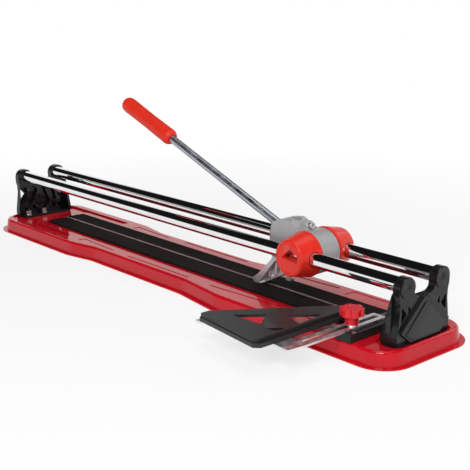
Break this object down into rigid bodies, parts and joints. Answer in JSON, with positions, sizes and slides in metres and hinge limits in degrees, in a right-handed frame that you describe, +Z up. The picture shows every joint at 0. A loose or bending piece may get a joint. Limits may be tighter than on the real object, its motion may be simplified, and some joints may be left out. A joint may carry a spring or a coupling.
{
  "type": "manual tile cutter",
  "caption": "Manual tile cutter with a pressed base, two guide rails, a sliding carriage with a lever, breaking foot and scoring wheel, a fence and a sliding set square.",
  "frame": {"origin": "on the bench, under the middle of the breaking rib, at the underside of the channel that carries it", "axes": "+X along the guide rails towards the fence, +Y across the base to the side away from the set square, +Z up"},
  "size_m": [0.858, 0.2689, 0.2387],
  "materials": {
    "pan_red": "gloss",
    "zinc": "satin zinc plate",
    "rib_steel": "satin",
    "pad_rubber": "matt, fine grain",
    "support_black": "semi-gloss",
    "rail_chrome": "polished",
    "bolt_steel": "satin",
    "fence_black": "semi-gloss",
    "scale_grey": "satin",
    "hub_red": "satin",
    "bush_black": "matt",
    "casting_grey": "satin painted casting",
    "grip_red": "satin",
    "wheel_steel": "ground",
    "arm_zinc": "zinc plate",
    "square_black": "satin",
    "knob_red": "gloss"
  },
  "bodies": {
    "base": {"base_pan": "pan_red", "centre_channel": "zinc", "breaking_rib": "rib_steel", "front_pad": "pad_rubber", "rear_pad": "pad_rubber", "end_support_left": "support_black", "end_support_right": "support_black", "guide_rail_front": "rail_chrome", "guide_rail_rear": "rail_chrome", "rail_screws": "support_black", "support_bolts": "bolt_steel", "support_nuts": "bolt_steel", "fence_bar": "fence_black", "fence_scale": "scale_grey", "fence_screws": "bolt_steel", "clamp_stud": "bolt_steel"},
    "carriage": {"front_hub": "hub_red", "rear_hub": "hub_red", "rail_bushes": "bush_black", "tie_rod": "bolt_steel"},
    "lever": {"lever_head": "casting_grey", "head_screw": "bolt_steel", "lever_tube": "rail_chrome", "lever_grip": "grip_red", "breaker_foot": "casting_grey", "foot_screw": "bolt_steel", "wheel_holder": "casting_grey", "wheel_pin": "bolt_steel"},
    "wheel": {"scoring_wheel": "wheel_steel"},
    "stop": {"stop_arm": "arm_zinc", "set_square": "square_black", "square_screws": "bolt_steel"},
    "washer": {"knob_washer": "arm_zinc"},
    "knob": {"clamp_knob": "knob_red"}
  },
  "joints": [
    {"name": "carriage_slide", "type": "slide", "parent": "base", "child": "carriage", "axis": [1, 0, 0], "range_m": [-0.505, 0.115]},
    {"name": "lever_hinge", "type": "hinge", "parent": "carriage", "child": "lever", "pos_m": [0.2465, 0, 0.085], "axis": [0, 1, 0], "range_deg": [0, 75]},
    {"name": "wheel_spin", "type": "hinge", "parent": "lever", "child": "wheel", "pos_m": [0.2005, 0, 0.04], "axis": [0, 1, 0], "continuous": true},
    {"name": "stop_slide", "type": "slide", "parent": "base", "child": "stop", "axis": [0, 1, 0], "range_m": [-0.041, 0.014]},
    {"name": "knob_lift", "type": "slide", "parent": "base", "child": "washer", "axis": [0, 0, 1], "range_m": [0, 0.002]},
    {"name": "knob_turn", "type": "hinge", "parent": "washer", "child": "knob", "pos_m": [0.354, -0.054, 0.033], "axis": [0, 0, 1], "range_deg": [0, 720]}
  ],
  "couplings": [
    {"joint": "knob_lift", "follows": "knob_turn", "m_per_rad": 0.00015915}
  ]
}
